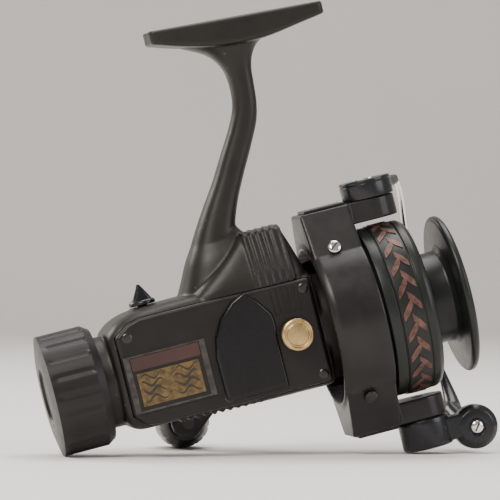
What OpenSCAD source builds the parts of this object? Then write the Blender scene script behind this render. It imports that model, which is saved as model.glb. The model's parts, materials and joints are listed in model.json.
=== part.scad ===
// Rear-drag spinning reel. Every part is drawn in the reel's own frame: X runs forward along the
// main shaft, Y towards the handle and Z up towards the rod foot, with the shaft on the X axis.
// placed() then stands the reel on its drag knob, its lower bail arm and its handle knob.

/* [Shaft and gears] */
// Radius of the main shaft
shaft_r = 1.6; // [1.5:0.05:1.65]
// Where the handle axle crosses the shaft
crank_u = 4; // [3.5:0.5:4]
// Stroke of the spool along the shaft
stroke = 8.5; // [6:0.5:8.5]

/* [Housing] */
// Half of the housing's width
body_half = 17; // [16.6:0.2:18]
// Thickness of the side cover
cover_t = 2.8; // [2:0.2:3]
// Thickness of the housing's far wall
wall = 1.8; // [1.4:0.2:2]
// Half of the rod foot's width
foot_half = 8.5; // [7.5:0.5:9]

/* [Rotor and spool] */
// Outer radius of the rotor drum and of the spool's skirt
drum_r = 28; // [28:0.2:28.4]
// Radius of the spool's front lip
lip_r = 26; // [24:0.5:26.5]
// Radius of the spool's arbor, where the line winds
arbor_r = 15; // [14:0.5:18]
// Distance of the bail's pivot along the shaft
bail_u = 42; // [41:0.5:43]
// Furthest reach of the bail wire from its pivot axis
bail_reach = 43; // [42:0.5:45]

/* [Drag knob and handle] */
// Radius of the drag knob
drag_knob_r = 19.8; // [19:0.2:20.4]
// Length of the handle's arm, from axle to knob
arm_length = 40; // [39:0.5:41]
// Radius of the handle's knob
grip_r = 9; // [8:0.5:9.5]

/* [Hidden] */

$fn = 64;
play = 0.05;            // radial running clearance
gap = 0.3;              // clearance between parts that move past each other

// Resting attitude: the drag knob's rear edge and the lower bail arm's rear edge share a level
knob_rear = -76;
knob_edge_u = knob_rear + 1;
bail_foot_w = -47;
bail_disc_r = 8.5;
bail_edge_u = bail_u - bail_disc_r;
pitch = atan((-drag_knob_r - bail_foot_w) / (bail_edge_u - knob_edge_u));
lift = -(knob_edge_u * sin(pitch) - drag_knob_r * cos(pitch));

// Handle: its knob touches the same level; the arm slopes down behind the axle
grip_end = 58;
crank_angle = asin((crank_u * sin(pitch) + lift - grip_r) / arm_length) - pitch;

// Face gear and pinion
pinion_teeth = 10;
drive_teeth = 50;
pinion_pitch_r = 3.1;
drive_pitch_r = pinion_pitch_r * drive_teeth / pinion_teeth;
face_pressure = 25;
pinion_tip_r = pinion_pitch_r + 0.5;
pinion_root_r = 2.36;
tooth_back = 0.2;                            // backlash on each flank of the pinion
face_half_tooth = 0.39;                      // half a face tooth's width at the pitch plane
face_tip_y = pinion_root_r + 0.26;
face_root_y = pinion_tip_r + 0.25;
face_inner_r = drive_pitch_r - 0.9;
face_outer_r = drive_pitch_r + 0.7;
gear_back_y = 6.3;

// Spur pair that drives the oscillation
spur_module = 0.8;
spur_pressure = 20;
crank_spur_teeth = 24;
osc_teeth = 34;
crank_spur_r = crank_spur_teeth * spur_module / 2;
osc_r = osc_teeth * spur_module / 2;
osc_u = crank_u - crank_spur_r - osc_r;
spur_back = 0.12;
spur_y0 = 7;
spur_y1 = 9.5;
osc_pin_r = stroke / 2;
slot_u = osc_u - osc_pin_r;

// Housing outline, seen from the side
housing_outline = [[-54, -14], [-50, -17.2], [-30, -17.2], [-12, -18.2], [15, -18.2], [15, 19],
    [9.5, 36.5], [-3, 35.5], [-10, 30], [-25, 21.5], [-43, 20.5], [-48, 19], [-54, 15.5]];
housing_section = [[-body_half, -13.5], [-12.5, -18.3], [12.5, -18.3], [body_half, -13.5],
    [body_half, 24], [10, 37], [-10, 37], [-body_half, 24]];
cavity_outline = [[-48, -13], [-46, -15.4], [-14, -15.4], [-10, -16.9], [13.2, -16.9],
    [13.2, 17.2], [-44, 17.2], [-48, 14]];
cover_outline = [[-52, -12], [-47.5, -16], [-12, -16.6], [14, -16.6], [14, 17.8], [-20, 18.4],
    [-43, 18.4], [-47, 17.4], [-52, 14]];
stem_outline = [[-27, 19], [-15, 42], [-8, 52], [5.7, 75], [6, 88], [0.5, 98.5], [20, 98.5],
    [14.3, 86], [12.6, 71], [1.4, 49.5], [-4, 35], [-4, 19]];
stem_section = [[-13, 18], [-6.5, 50], [-5, 76], [-5, 86], [-8, 99], [8, 99], [5, 86], [5, 76],
    [6.5, 50], [13, 18]];
foot_outline = [[-15.5, 106.4], [41.4, 103.1], [41.1, 98.8], [20, 95.6], [2, 96.4], [-16.6, 102]];
foot_tilt = atan((106.4 - 103.1) / (41.4 + 15.5));
seat_r = 12;            // the foot's top is hollowed to this radius to sit on a rod
seat_depth = 1.4;
band_t = 0.3;

nose_r = 17.4;
nose_cavity_r = 16;
nose_wall_u = 21.8;
nose_end = 27.1;
journal_r = 4;
bearing_r = 8;
cup_r = 15;
cup_end = -60;
cup_floor = -50;
crank_bearing_r = 7.5;
boss_r = 9.5;
rod_y = -10;
rod_w = 10.4;
guide_y = -8;
guide_w = -6;
lever_u = -38.5;
screw_places = [[-48, 13], [-20.5, -13.6], [11, -13.7], [11, 14.7]];
screw_boss_r = 2.7;
post_foot_w = -17.1;     // the guide rod's posts grow out of the cavity floor
screw_boss_y = -10.6;
screw_tip_y = -11.2;

// Nameplate: lowest and highest corner of its outline, in the plane of the side cover
label_low = [-51.3, -11.8];
label_high = [-23.8, 7.3];

// Screws of the bearing retainer, outside the clutch ring
retainer_pitch_r = 11.25;
retainer_head_r = 1.3;

// Rotor arms and bail
arm_outer = 37;
finger_in = 30;
roller_u = bail_u + 16;
roller_w = -44;
cheek_r = 7.3;

// The origin is under the middle of the resting reel's box
centre_x = -(knob_edge_u * cos(pitch) - drag_knob_r * sin(pitch)
    + roller_u * cos(pitch) - roller_w * sin(pitch) + cheek_r) / 2;
centre_y = -(grip_end - drum_r - band_t) / 2;

function polar(r, a) = [r * cos(a), r * sin(a)];
function inv_deg(a) = tan(a) * 180 / PI - a;
function flank_deg(r, base_r) = r > base_r ? inv_deg(acos(base_r / r)) : 0;
function half_tooth(r, pitch_r, width, pressure) =
    width / (2 * pitch_r) * 180 / PI + inv_deg(pressure) - flank_deg(r, pitch_r * cos(pressure));
function flank_radii(root_r, tip_r, base_r) =
    concat([root_r], [for (i = [0 : 4]) base_r + (tip_r - base_r) * i / 4]);
function gear_outline(n, pitch_r, root_r, tip_r, width, pressure) =
    let (radii = flank_radii(root_r, tip_r, pitch_r * cos(pressure)), last = len(radii) - 1) [
        for (k = [0 : n - 1]) each concat(
            [for (i = [0 : last]) polar(radii[i], 360 * k / n - half_tooth(radii[i], pitch_r, width, pressure))],
            [for (i = [last : -1 : 0]) polar(radii[i], 360 * k / n + half_tooth(radii[i], pitch_r, width, pressure))])
    ];

// A tube with a round section swept along a list of points; its radius may be one per point
function radius_at(r, i) = is_list(r) ? r[i] : r;
function unit(v) = v / norm(v);
function along(p, i) = unit(p[min(i + 1, len(p) - 1)] - p[max(i - 1, 0)]);
function ring(p, i, r, sides, up) =
    let (t = along(p, i), a = unit(cross(up, t)), b = cross(t, a))
    [for (k = [0 : sides - 1]) p[i] + r * (cos(360 * k / sides) * a + sin(360 * k / sides) * b)];
module tube(p, r, sides = 10, up = [0, 0, 1]) {
    n = len(p);
    points = [for (i = [0 : n - 1]) each ring(p, i, radius_at(r, i), sides, up)];
    sides_faces = [for (i = [0 : n - 2], k = [0 : sides - 1])
        let (m = (k + 1) % sides) [i * sides + k, (i + 1) * sides + k, (i + 1) * sides + m, i * sides + m]];
    caps = [[for (k = [0 : sides - 1]) k], [for (k = [sides - 1 : -1 : 0]) (n - 1) * sides + k]];
    polyhedron(points, concat(sides_faces, caps), convexity = 6);
}
module coil(u0, u1, coil_r, wire_r, turns) {
    steps = 14 * turns;
    tube([for (i = [0 : steps]) [u0 + (u1 - u0) * i / steps,
        coil_r * cos(360 * turns * i / steps), coil_r * sin(360 * turns * i / steps)]], wire_r, 6, [1, 0, 0]);
}

module placed() translate([centre_x, centre_y, lift]) rotate([0, -pitch, 0]) children();
module on_shaft(u = 0) translate([u, 0, 0]) rotate([0, 90, 0]) children();
module on_y(u, y, w = 0) translate([u, y, w]) rotate([-90, 0, 0]) children();
module rod_x(u0, u1, r, y = 0, w = 0) translate([u0, y, w]) rotate([0, 90, 0]) cylinder(r = r, h = u1 - u0);
module rod_y(y0, y1, r, u, w = 0) on_y(u, y0, w) cylinder(r = r, h = y1 - y0);
module rod_w(w0, w1, r, u, y = 0) translate([u, y, w0]) cylinder(r = r, h = w1 - w0);
module slab(y0, y1) translate([0, y1, 0]) rotate([90, 0, 0]) linear_extrude(y1 - y0) children();
module section_x(u0, u1) translate([u0, 0, 0]) rotate([90, 0, 90]) linear_extrude(u1 - u0) children();
module block(low, high) translate(low) cube(high - low);
module spin_x(points) rotate([0, 90, 0]) rotate_extrude(convexity = 6) polygon(points);
module ring_x(u0, u1, outer, inner) difference() {
    rod_x(u0, u1, outer);
    rod_x(u0 - 1, u1 + 1, inner);
}
module ring_y(y0, y1, outer, inner, u, w = 0) difference() {
    rod_y(y0, y1, outer, u, w);
    rod_y(y0 - 1, y1 + 1, inner, u, w);
}

// --- Housing -----------------------------------------------------------------------------------
module rod_foot() difference() {
    slab(-foot_half, foot_half) polygon(foot_outline);
    translate([-30, 0, 106.4 + 14.5 * tan(foot_tilt) + seat_r - seat_depth]) rotate([0, 90 + foot_tilt, 0])
        cylinder(r = seat_r, h = 90);
}
module stem() intersection() {
    slab(-14, 14) polygon(stem_outline);
    section_x(-40, 40) polygon(stem_section);
}
module housing_shell() difference() {
    union() {
        intersection() {
            slab(-body_half, body_half) polygon(housing_outline);
            section_x(-60, 20) polygon(housing_section);
        }
        rod_x(12, nose_end, nose_r);
        rod_x(cup_end, -50, cup_r);
        rod_y(10, 20.5, boss_r, crank_u);
    }
    slab(-body_half - 1, body_half - wall) polygon(cavity_outline);
    slab(-body_half - 1, -body_half + cover_t + 0.01) polygon(cover_outline);
    rod_x(12, nose_wall_u, nose_cavity_r);
    rod_x(nose_wall_u - 1, nose_end + 1, bearing_r + 0.02);
    rod_x(-49, -40, 4.3);
    rod_x(cup_floor - 2, -40, 4.3);
    rod_x(cup_end - 1, cup_floor, 12);
}
module body_housing() color([0.07, 0.075, 0.08]) placed() {
    difference() {
        union() {
            housing_shell();
            stem();
            rod_foot();
            rod_y(10, body_half - wall + 0.5, boss_r, crank_u);
            for (u = [-42, -8]) block([u, guide_y - 2.5, post_foot_w], [u + 4, guide_y + 2.5, guide_w + 3]);
            for (p = screw_places) rod_y(-body_half + cover_t, screw_boss_y, screw_boss_r, p[0], p[1]);
        }
        rod_y(9, 22, crank_bearing_r + 0.02, crank_u);
        rod_x(-60, 0, 1.25, guide_y, guide_w);
        rod_x(20, 30, 1.3, rod_y, rod_w);
        rod_w(12, 40, 1.55, lever_u);
        for (p = screw_places) rod_y(-body_half, screw_tip_y + 0.2, 1.03, p[0], p[1]);
        rod_y(body_half - 7, body_half + 1, 1.52, osc_u);
        for (a = [60 : 120 : 300]) translate(concat([20], polar(retainer_pitch_r, a))) rotate([0, 90, 0])
            cylinder(r = 0.92, h = 10);
    }
}
module side_cover() color([0.1, 0.11, 0.12]) placed() difference() {
    union() {
        slab(-body_half, -body_half + cover_t) offset_cover();
        intersection() {
            rod_y(-19.5, -body_half + 1, 19.4, -3.4);
            slab(-20, -body_half + 1) offset_cover();
        }
    }
    rod_y(-21, -18.4, 5.3, crank_u + 1.3, 0.8);
    for (p = screw_places) rod_y(-20, 0, 1.05, p[0], p[1]);
    for (p = screw_places) rod_y(-body_half - 1, -body_half + 1.2, 2.1, p[0], p[1]);
    block([label_low[0] - 0.2, -18, label_low[1] - 0.2],
        [label_high[0] + 0.2, -body_half + 0.6, label_high[1] + 0.2]);
}
module offset_cover() polygon([for (p = cover_outline) [p[0] > -20 ? p[0] - 0.15 : p[0] + 0.15,
    p[1] > 0 ? p[1] - 0.15 : p[1] + 0.15]]);
module cover_screws() color("silver") placed() for (p = screw_places) difference() {
    union() {
        rod_y(-body_half + 0.05, -body_half + 1.2, 2, p[0], p[1]);
        rod_y(-body_half + 1.2, screw_tip_y, 1, p[0], p[1]);
    }
    translate([p[0], -body_half, p[1]]) cube([2.6, 1, 0.5], center = true);
}
module nameplate() color([0.55, 0.42, 0.2]) placed()
    block([label_low[0], -body_half - 0.5, label_low[1]], [label_high[0], -body_half + 0.55, label_high[1]]);
module side_cap() color([0.62, 0.47, 0.25]) placed() rod_y(-21.6, -18.4, 5.2, crank_u + 1.3, 0.8);
module bearing_retainer() color("silver") placed() difference() {
    ring_x(nose_end, nose_end + 0.8, 12.6, 9.9);
    for (a = [60 : 120 : 300]) translate(concat([20], polar(retainer_pitch_r, a))) rotate([0, 90, 0])
        cylinder(r = 0.92, h = 10);
}
module retainer_screws() color("silver") placed() for (a = [60 : 120 : 300])
    translate(concat([0], polar(retainer_pitch_r, a))) {
        rod_x(nose_end - 4, nose_end + 0.8, 0.9);
        rod_x(nose_end + 0.8, nose_end + 1.6, retainer_head_r);
    }
module pinion_bearing() color("silver") placed() difference() {
    ring_x(22.6, nose_end, bearing_r, journal_r + 0.02);
    for (u = [21.6, nose_end - 0.8]) ring_x(u, u + 1.8, 6.9, 5.1);
}
module clutch_ring() color("gray") placed() ring_x(22.6 + 4.5, 30.4, 9.8, 9.3);
module crank_bearings() color("silver") placed() for (y = [10.4, 17.2]) difference() {
    ring_y(y, y + 3, crank_bearing_r, journal_r + 0.02, crank_u);
    ring_y(y + 2.5, y + 4, 6.5, 5, crank_u);
}
module oscillation_axle() color("silver") placed() {
    rod_y(spur_y1 + 0.3, body_half, 1.5, osc_u);
    rod_y(spur_y0 - 0.2, spur_y1 + 0.3, 2, osc_u);
}
module guide_rod() color("silver") placed() rod_x(-43, -3.5, 1.2, guide_y, guide_w);
module felt_washers() color([0.35, 0.3, 0.25]) placed() for (i = [0 : 2])
    ring_x(cup_floor - 1 - 2.1 * i, cup_floor - 0.05 - 2.1 * i, 11.4, 4.6);
module drag_spring() color("silver") placed() coil(-64.3, -56.9, 6, 0.6, 3);
module drag_clicker() color("silver") placed() {
    block([-46.5, -1.5, 9.6], [-45.5, 1.5, 15]);
    block([-47.5, -0.6, 8.9], [-45.5, 0.6, 9.6]);
}

// --- Anti-reverse --------------------------------------------------------------------------------
module anti_reverse_lever() color([0.08, 0.08, 0.09]) placed() {
    rod_w(12.2, 21.4, 1.5, lever_u);
    rod_w(21.4, 23, 4.4, lever_u);
    slab(-1.6, 1.6) polygon([[lever_u - 3.6, 22.8], [lever_u + 3.6, 22.8], [lever_u + 3, 23.8],
        [lever_u + 0.4, 28.2], [lever_u - 0.4, 28.2], [lever_u - 2.4, 24.2]]);
    block([lever_u - 1.3, -6.5, 12.2], [lever_u + 1.3, 0, 14]);
}
module anti_reverse_rod() color("silver") placed() {
    rod_x(-36, 29.6, 1.2, rod_y, rod_w);
    block([-36.8, rod_y - 1.5, rod_w - 1.5], [-33.8, rod_y + 1.5, rod_w + 3.8]);
}
module clutch_cage() color([0.3, 0.3, 0.32]) placed() difference() {
    ring_x(27.6, 30.2, 9.1, 6.35);
    for (a = [0 : 45 : 315]) translate(concat([27], polar(7.65, a))) rotate([0, 90, 0])
        cylinder(r = 1.45, h = 4);
}
module clutch_rollers() color("silver") placed() for (a = [0 : 45 : 315])
    translate(concat([0], polar(7.65, a))) rod_x(27.7, 30.1, 1.3);

// --- Crank and handle ------------------------------------------------------------------------------
module face_tooth(a) rotate([0, 0, a]) translate([face_inner_r, 0, 0]) rotate([90, 0, 90])
    linear_extrude(face_outer_r - face_inner_r) polygon([
        [-face_half_tooth - (face_root_y - pinion_pitch_r) * tan(face_pressure), face_root_y + 0.2],
        [face_half_tooth + (face_root_y - pinion_pitch_r) * tan(face_pressure), face_root_y + 0.2],
        [face_half_tooth - (pinion_pitch_r - face_tip_y) * tan(face_pressure), face_tip_y],
        [-face_half_tooth + (pinion_pitch_r - face_tip_y) * tan(face_pressure), face_tip_y]]);
module drive_gear() color([0.7, 0.68, 0.6]) placed() on_y(crank_u, 0) {
    difference() {
        translate([0, 0, face_root_y]) cylinder(r = face_outer_r + 0.2, h = gear_back_y - face_root_y);
        translate([0, 0, -1]) cylinder(r = journal_r + 0.02, h = 20);
        for (a = [30 : 60 : 330]) rotate([0, 0, a]) translate([9, 0, -1]) cylinder(r = 2.4, h = 20);
    }
    for (k = [0 : drive_teeth - 1]) face_tooth((k + 0.5) * 360 / drive_teeth);
}
module crank_shaft() color("silver") placed() {
    rod_y(face_root_y, 23, journal_r, crank_u);
    difference() {
        on_y(crank_u, spur_y0) linear_extrude(spur_y1 - spur_y0)
            polygon(gear_outline(crank_spur_teeth, crank_spur_r, crank_spur_r - 1, crank_spur_r + 0.75,
                PI * spur_module / 2 - spur_back, spur_pressure));
        rod_y(spur_y0 - 1, spur_y1 + 1, journal_r - 0.5, crank_u);
    }
}
module handle_hub() color([0.12, 0.12, 0.13]) placed() {
    difference() {
        union() {
            rod_y(21, 23, 7.2, crank_u);
            rod_y(23, 29.4, 6.4, crank_u);
        }
        rod_y(20, 23.05, journal_r + 0.01, crank_u);
    }
    rod_y(35.2, 36.6, 4.4, crank_u);
}
module handle_turned() translate([crank_u, 0, 0]) rotate([0, 180 - crank_angle, 0]) children();
module handle_arm() color([0.13, 0.13, 0.14]) placed() handle_turned() difference() {
    union() {
        rod_y(29.4, 35.2, 7, 0);
        slab(30.4, 34.4) polygon([[0, -5.5], [22, -3.6], [arm_length, -4.4], [arm_length, 4.4], [22, 3.6], [0, 5.5]]);
        rod_y(30, 34.8, 5.4, arm_length);
    }
    rod_y(28, 36, 2.02, arm_length);
}
module knob_pin() color("silver") placed() handle_turned() {
    rod_y(30, 54, 2, arm_length);
    rod_y(34.8, 35.4, 3.4, arm_length);
}
module handle_knob() color([0.09, 0.09, 0.1]) placed() handle_turned() translate([arm_length, 0, 0])
    rotate([-90, 0, 0]) rotate_extrude() polygon([[2.06, 35.8], [6.2, 35.8], [7, 37.5], [grip_r - 0.6, 42],
        [grip_r, 46], [grip_r, 52], [grip_r - 1, 56], [grip_r - 3, 57.6], [4.4, 57.6], [4.4, 54.4], [2.06, 54.4]]);
module knob_cap() color("silver") placed() handle_turned() rod_y(54.5, grip_end, 4.3, arm_length);

// --- Oscillation -----------------------------------------------------------------------------------
module oscillation_gear() color([0.75, 0.73, 0.68]) placed() {
    difference() {
        on_y(osc_u, spur_y0) rotate([0, 0, 180 / osc_teeth]) linear_extrude(spur_y1 - spur_y0)
            polygon(gear_outline(osc_teeth, osc_r, osc_r - 1, osc_r + 0.75,
                PI * spur_module / 2 - spur_back, spur_pressure));
        rod_y(spur_y0 - 1, spur_y1 + 1, 2 + play, osc_u);
    }
    rod_y(3.4, spur_y0, 1.2, slot_u);
}
module slider() color([0.2, 0.2, 0.21]) placed() difference() {
    union() {
        block([slot_u - 2.2, -3.6, -8], [slot_u + 2.2, 3, 8]);
        block([slot_u - 4.6, -3.6, -3.6], [slot_u + 2.2, 2.4, 3.6]);
        block([slot_u - 2.2, guide_y - 2.4, guide_w - 2.4], [slot_u + 2.2, -3, guide_w + 2.4]);
    }
    rod_x(-60, 0, shaft_r + play);
    rod_x(-60, 0, 1.2 + play, guide_y, guide_w);
    block([slot_u - 1.3, 2.2, -6.4], [slot_u + 1.3, 4, 6.4]);
}
module main_shaft() color("silver") placed() difference() {
    rod_x(-52, 61.4, shaft_r);
    for (s = [-1, 1]) translate([-45, s * (shaft_r + 0.7), 0]) cube([20, 2, 8], center = true);
}
module shaft_clips() color("silver") placed() for (u = [slot_u - 5.4, slot_u + 2.4])
    ring_x(u, u + 0.6, 2.4, shaft_r);

// --- Spool -----------------------------------------------------------------------------------------
module spool() color([0.1, 0.11, 0.1]) placed() spin_x([[shaft_r, 44], [5, 44], [5, 57.5],
    [arbor_r - 1.8, 57.5], [arbor_r - 1.8, 48.2], [drum_r - 1.6, 48.2], [drum_r - 1.6, 34.3], [drum_r, 34.3],
    [drum_r, 49], [drum_r - 1, 50], [arbor_r, 50], [arbor_r, 59.8], [lip_r - 1, 59.8], [lip_r, 60.6],
    [lip_r, 62], [lip_r - 1, 62.8], [8.2, 62.8], [7.2, 64.2], [6.6, 64.2], [6.6, 58.8], [shaft_r, 58.8]]);
module spool_band() color([0.6, 0.35, 0.28]) placed() ring_x(38.4, 45.6, drum_r + band_t, drum_r);
module spool_button() color([0.15, 0.15, 0.16]) placed() spin_x([[2.2, 60], [3.4, 60], [3.4, 63.6],
    [5, 63.6], [5, 60], [6.3, 60], [6.3, 65.4], [5.6, 66], [0, 66], [0, 63], [2.2, 63]]);
module button_spring() color("silver") placed() coil(59.15, 62.2, 4.2, 0.3, 3);

// --- Drag ------------------------------------------------------------------------------------------
module drag_sleeve() color("silver") placed() difference() {
    union() {
        rod_x(-57, -41, 4.2 - play);
        rod_x(-47.6, -46.6, 8.6);
    }
    intersection() {
        rod_x(-70, 0, shaft_r + play);
        translate([-45, 0, 0]) cube([60, 2 * (shaft_r - 0.3 + play), 8], center = true);
    }
}
module metal_washers() color("silver") placed() for (i = [0 : 2])
    ring_x(cup_floor - 2.05 - 2.1 * i, cup_floor - 1.05 - 2.1 * i, 11.2, 4.2 - play);
module drag_knob() color([0.09, 0.095, 0.1]) placed() difference() {
    spin_x([[0, knob_rear], [drag_knob_r - 5, knob_rear], [drag_knob_r, knob_edge_u], [drag_knob_r, -60],
        [drag_knob_r - 2, -57.6], [0, -57.6]]);
    rod_x(-72.5, -50, cup_r + 0.5);
}
module pressure_nut() color("silver") placed() {
    rod_x(-72.5, -65.6, 5);
    rod_x(-65.6, -65, 8);
}

// --- Rotor -----------------------------------------------------------------------------------------
module rotor_arm() {
    difference() {
        section_x(17, 33.6) polygon([[-17, 20], [-8, arm_outer], [8, arm_outer], [17, 20]]);
        rod_x(10, 40, drum_r - 1);
    }
    block([30, -7, finger_in], [bail_u, 7, arm_outer]);
    rod_w(finger_in, arm_outer, 7, bail_u);
}
module rotor() color([0.12, 0.125, 0.13]) placed() difference() {
    union() {
        spin_x([[journal_r + 0.02, 31.2], [9, 31.2], [9, 32.4], [drum_r - 2.4, 32.4], [drum_r - 2.4, 16.5],
            [drum_r - 0.8, 16.5], [drum_r, 17.3], [drum_r, 33.6], [drum_r - 2.8, 33.6], [drum_r - 2.8, 46],
            [drum_r - 4.8, 46], [drum_r - 4.8, 35], [9, 35], [9, 36], [journal_r + 0.02, 36]]);
        for (m = [0, 1]) mirror([0, 0, m]) rotor_arm();
    }
    for (w = [-40, 30]) rod_w(w, w + 10, 2.02, bail_u);
    for (s = [-1, 1], t = [-1, 1]) rotor_screw_space(s, t);
    rod_x(19, 34, 2.6, 0, -33.4);
}
// The four screws sit on the slanted cheeks of the rotor's arms
cheek_angle = atan((17 - 8) / (arm_outer - 20));
cheek_y = 17 - (24.6 - 20) * tan(cheek_angle);
module rotor_screw_place(s, t) translate([24.5, s * cheek_y, t * 24.6])
    rotate([s * (t > 0 ? -1 : 1) * (90 - cheek_angle) + (t > 0 ? 0 : 180), 0, 0]) children();
module rotor_screw_space(s, t) rotor_screw_place(s, t) {
    translate([0, 0, -0.6]) cylinder(r = 2.5, h = 3);
}
module rotor_screws() color("silver") placed() for (s = [-1, 1], t = [-1, 1]) rotor_screw_place(s, t)
    translate([0, 0, -0.6]) difference() {
        cylinder(r = 2.4, h = 1.3);
        translate([0, 0, 1.3]) cube([3.4, 0.6, 0.8], center = true);
    }
module pinion() color([0.78, 0.66, 0.4]) placed() difference() {
    union() {
        on_shaft(17.6) rotate([0, 0, 18]) linear_extrude(3.9)
            polygon(gear_outline(pinion_teeth, pinion_pitch_r, pinion_root_r, pinion_tip_r,
                PI * pinion_pitch_r / pinion_teeth - tooth_back, face_pressure));
        rod_x(21.4, 22.6, 4.8);
        rod_x(22.6, 36, journal_r);
        rod_x(36, 39, 3.2);
    }
    rod_x(10, 50, shaft_r + play);
}
module clutch_sleeve() color("gray") placed() ring_x(27.4, 31.1, 6.2, journal_r + 0.01);
module rotor_nut() color("silver") placed() difference() {
    rotate([0, 90, 0]) translate([0, 0, 36.1]) cylinder(r = 6.4, h = 2.7, $fn = 6);
    rod_x(30, 50, 3.22);
}
module arm_covers() color([0.15, 0.155, 0.16]) placed() for (m = [0, 1]) mirror([0, 0, m])
    block([19, -6.6, arm_outer], [33, 6.6, arm_outer + 1.1]);
module bail_pivot_screws() color("silver") placed() {
    rod_w(finger_in + 0.5, 42.2, 2, bail_u);
    rod_w(42.2, 43.6, 3.8, bail_u);
    rod_w(-44.4, -finger_in - 0.5, 2, bail_u);
    rod_w(-46, -44.4, 3.8, bail_u);
}
module bail_spring() color("silver") placed() translate([0, 0, -33.4]) coil(19.8, 33, 1.9, 0.35, 6);

// --- Bail ------------------------------------------------------------------------------------------
// The wire leaves the roller's cap on the handle side, rises round that side of the spool and comes
// back to the upper arm. phi turns about the pivot axis, from straight ahead towards the handle.
wire_half = 42;
function wire_reach(a) = 19 + (bail_reach - 19) * cos(a);
function wire_phi(a) = 50 + 18 * cos(a);
function wire_w(a) = a < 0 ? wire_half * sin(a) : (wire_half - 1.2) * sin(a);
function wire_point(a) = [bail_u + wire_reach(a) * cos(wire_phi(a)), wire_reach(a) * sin(wire_phi(a)), wire_w(a)];
module upper_bail_arm() color([0.16, 0.17, 0.19]) placed() difference() {
    union() {
        rod_w(arm_outer + gap, 43.4, bail_disc_r, bail_u);
        hull() {
            rod_w(arm_outer + 1.2, 42.4, 6, bail_u + 2, $fn = 32);
            translate(wire_point(90)) translate([0, 0, -2.2]) cylinder(r = 2.6, h = 4, $fn = 32);
        }
    }
    rod_w(30, 50, 2 + play, bail_u);
    rod_w(42.2 - gap, 50, 4.1, bail_u);
}
module lower_bail_arm() color([0.13, 0.135, 0.14]) placed() difference() {
    union() {
        rod_w(bail_foot_w, -arm_outer - gap, bail_disc_r, bail_u);
        block([bail_u, -5, -46.2], [roller_u, 1.4, -arm_outer - 1.4]);
        rod_y(-5, 1.4, cheek_r, roller_u, roller_w);
    }
    rod_w(-50, -30, 2 + play, bail_u);
    rod_w(-50, -44.4 + gap, 4.1, bail_u);
    rod_y(-6, 2, 1.52, roller_u, roller_w);
}
module line_roller() color("silver") placed() translate([roller_u, 0, roller_w]) rotate([-90, 0, 0])
    rotate_extrude() polygon([[1.56, 1.8], [5, 1.8], [4.4, 3.2], [4, 4.8], [4.4, 6.4], [5, 7.8], [1.56, 7.8]]);
module roller_screw() color("silver") placed() {
    rod_y(-5.8, 8.2, 1.5, roller_u, roller_w);
    rod_y(-6.4, -5, 3.2, roller_u, roller_w);
    rod_y(8.2, 12, 4.6, roller_u, roller_w);
}
wire_path = concat([[roller_u, 11, roller_w], [roller_u, 14, roller_w + 0.4]],
    [for (a = [-72 : 6 : 90]) wire_point(a)]);
wire_r = [for (i = [0 : len(wire_path) - 1]) max(1.1, 3.6 - 0.36 * i)];
module bail_wire() color("silver") placed() tube(wire_path, wire_r, 10, [1, 0, 0]);

body_housing();
side_cover();
cover_screws();
nameplate();
side_cap();
bearing_retainer();
retainer_screws();
pinion_bearing();
clutch_ring();
crank_bearings();
oscillation_axle();
guide_rod();
felt_washers();
drag_spring();
drag_clicker();
anti_reverse_lever();
anti_reverse_rod();
clutch_cage();
clutch_rollers();
drive_gear();
crank_shaft();
handle_hub();
handle_arm();
knob_pin();
handle_knob();
knob_cap();
oscillation_gear();
slider();
main_shaft();
shaft_clips();
spool();
spool_band();
spool_button();
button_spring();
drag_sleeve();
metal_washers();
drag_knob();
pressure_nut();
rotor();
pinion();
clutch_sleeve();
rotor_nut();
arm_covers();
rotor_screws();
bail_pivot_screws();
bail_spring();
upper_bail_arm();
lower_bail_arm();
bail_wire();
line_roller();
roller_screw();
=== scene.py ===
"""Looks of the rear-drag spinning reel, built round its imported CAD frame.

Shapes are written in the reel's own frame, in millimetres: u runs forward along the main shaft, y to
the handle side and w up towards the rod foot. REEL carries that frame to where the reel rests.
"""

import json
import math

import bmesh
import bpy
from mathutils import Matrix, Vector


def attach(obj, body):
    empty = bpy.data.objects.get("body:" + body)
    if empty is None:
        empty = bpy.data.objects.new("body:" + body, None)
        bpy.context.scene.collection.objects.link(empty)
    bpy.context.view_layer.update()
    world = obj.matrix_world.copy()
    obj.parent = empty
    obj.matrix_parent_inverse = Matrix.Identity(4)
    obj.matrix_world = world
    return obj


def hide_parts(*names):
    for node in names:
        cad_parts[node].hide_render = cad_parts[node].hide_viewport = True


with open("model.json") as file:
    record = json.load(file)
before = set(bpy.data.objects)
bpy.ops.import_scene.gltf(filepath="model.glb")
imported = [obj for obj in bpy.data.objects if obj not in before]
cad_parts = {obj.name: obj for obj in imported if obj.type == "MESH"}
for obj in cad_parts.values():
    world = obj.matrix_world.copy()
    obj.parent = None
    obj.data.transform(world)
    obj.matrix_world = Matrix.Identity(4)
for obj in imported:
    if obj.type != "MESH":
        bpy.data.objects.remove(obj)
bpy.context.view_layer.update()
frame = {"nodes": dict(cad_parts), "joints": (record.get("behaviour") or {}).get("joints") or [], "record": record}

MM = 0.001
joints = {j["name"]: j for j in frame["joints"]}
FORWARD = Vector(joints["rotor_spin"]["axis"]).normalized()
SIDE = Vector((0, 1, 0))
UP = FORWARD.cross(SIDE)
ORIGIN = Vector(joints["rotor_spin"]["pos_m"])
REEL = Matrix((FORWARD * MM, SIDE * MM, UP * MM)).transposed().to_4x4()
REEL.translation = ORIGIN


def along(joint):
    """A joint's place in the reel's frame, in millimetres: (u, y, w)."""
    return REEL.inverted() @ Vector(joints[joint]["pos_m"])


CRANK = along("handle_crank")
BAIL = along("bail_swing")
ROLLER = along("line_roller_spin")
GRIP = along("handle_knob_spin")
LEVER = along("anti_reverse_switch")

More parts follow.
